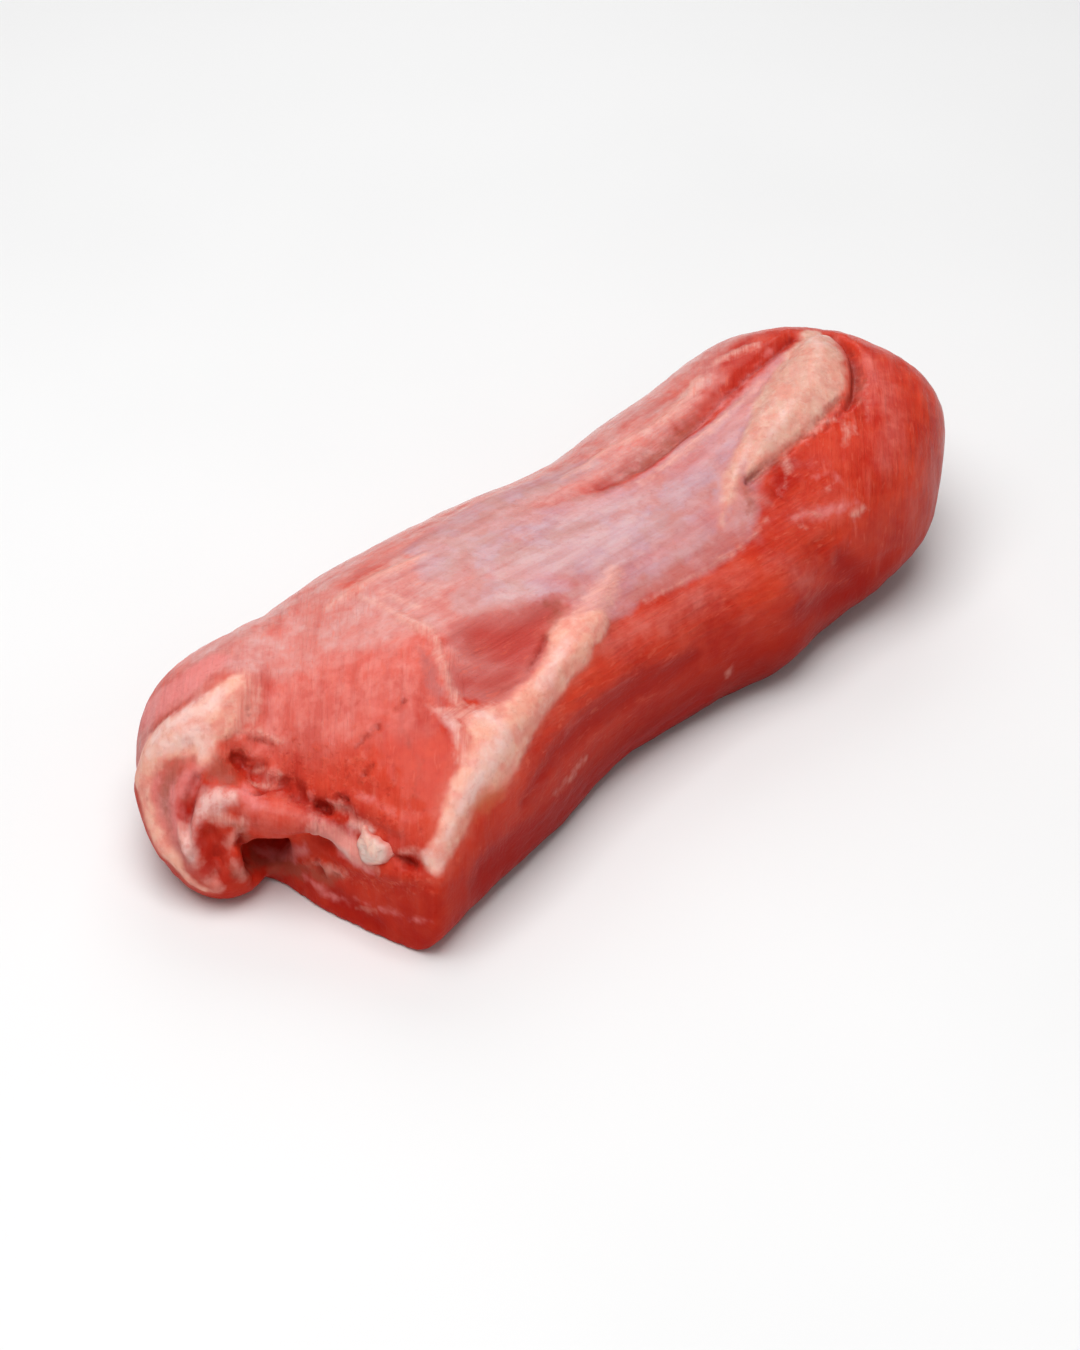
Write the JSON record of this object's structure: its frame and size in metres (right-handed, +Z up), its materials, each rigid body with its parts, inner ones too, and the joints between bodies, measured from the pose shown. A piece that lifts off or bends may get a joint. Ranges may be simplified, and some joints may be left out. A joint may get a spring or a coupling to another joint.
{
  "type": "raw veal tenderloin",
  "caption": "Trimmed piece of raw boneless meat with a rounded head, a folded cut end, a raised fat seam and a silverskin face, lying flat.",
  "frame": {"origin": "middle of the bounding box on the table plane that the piece rests on", "axes": "+X along the piece towards the rounded head, +Y towards the side away from the fat seam, +Z up"},
  "size_m": [0.24, 0.0962, 0.0562],
  "materials": {
    "raw_meat": "moist raw meat"
  },
  "bodies": {
    "root": {"tenderloin": "raw_meat"}
  },
  "joints": []
}
